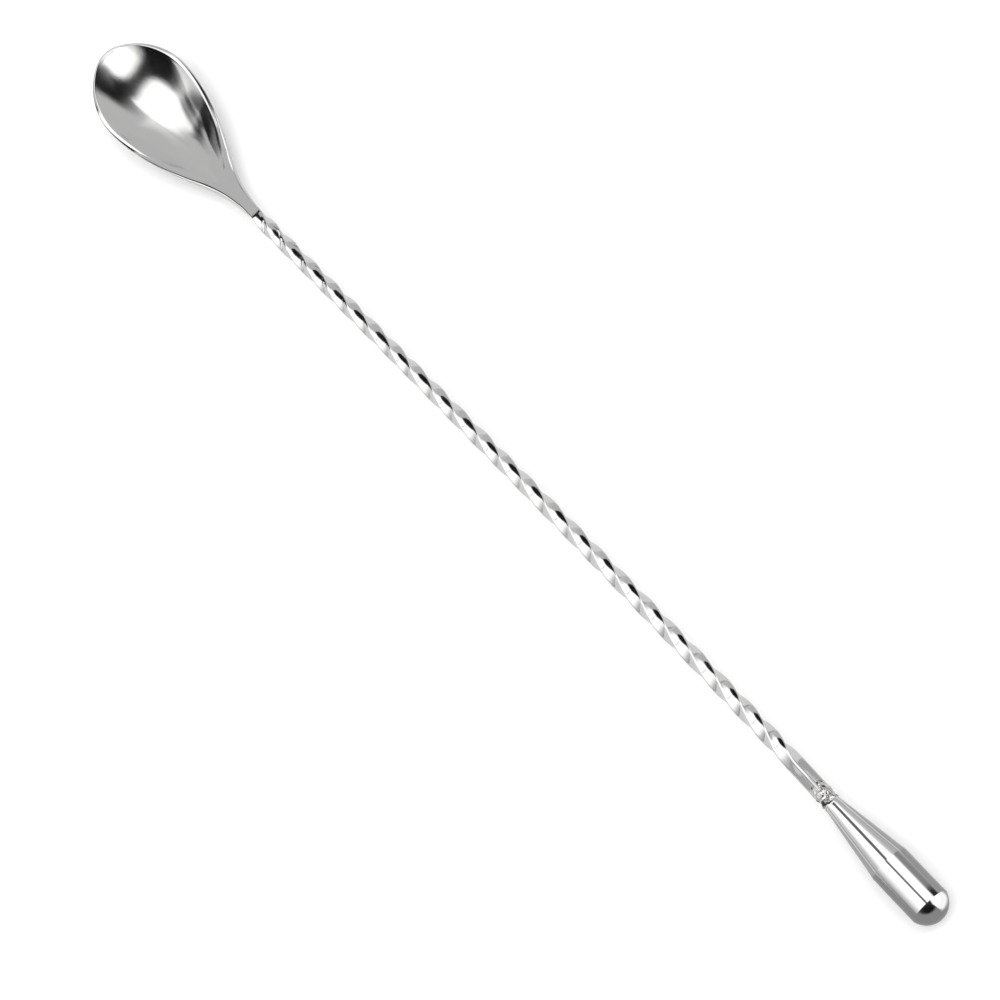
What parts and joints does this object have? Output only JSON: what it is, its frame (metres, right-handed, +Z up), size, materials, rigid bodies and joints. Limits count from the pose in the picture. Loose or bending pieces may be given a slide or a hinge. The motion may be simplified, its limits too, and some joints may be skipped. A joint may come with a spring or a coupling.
{
  "type": "bar spoon",
  "caption": "Long bar spoon with an egg-shaped bowl, a right-hand twisted square shaft and a welded teardrop counterweight.",
  "frame": {"origin": "bottom centre of the spoon's bounding box as it lies on a table, bowl open upwards; the counterweight and the bottom of the bowl both touch the table", "axes": "+X along the shaft from the counterweight's dome to the tip of the bowl, +Z up out of the open bowl, +Y across the bowl"},
  "size_m": [0.305, 0.026, 0.009],
  "materials": {
    "bowl_steel": "stainless sheet, fine satin brushed along the spoon, rim ground and polished",
    "shaft_steel": "stainless bar, polished on its faces and brighter on its twisted corners",
    "weld_steel": "as-welded bead, pitted and uneven",
    "weight_steel": "turned stainless, polished, faint turning lines"
  },
  "bodies": {
    "root": {"spoon_bowl": "bowl_steel", "twisted_shaft": "shaft_steel", "weld_bead": "weld_steel", "drop_weight": "weight_steel"}
  },
  "joints": []
}
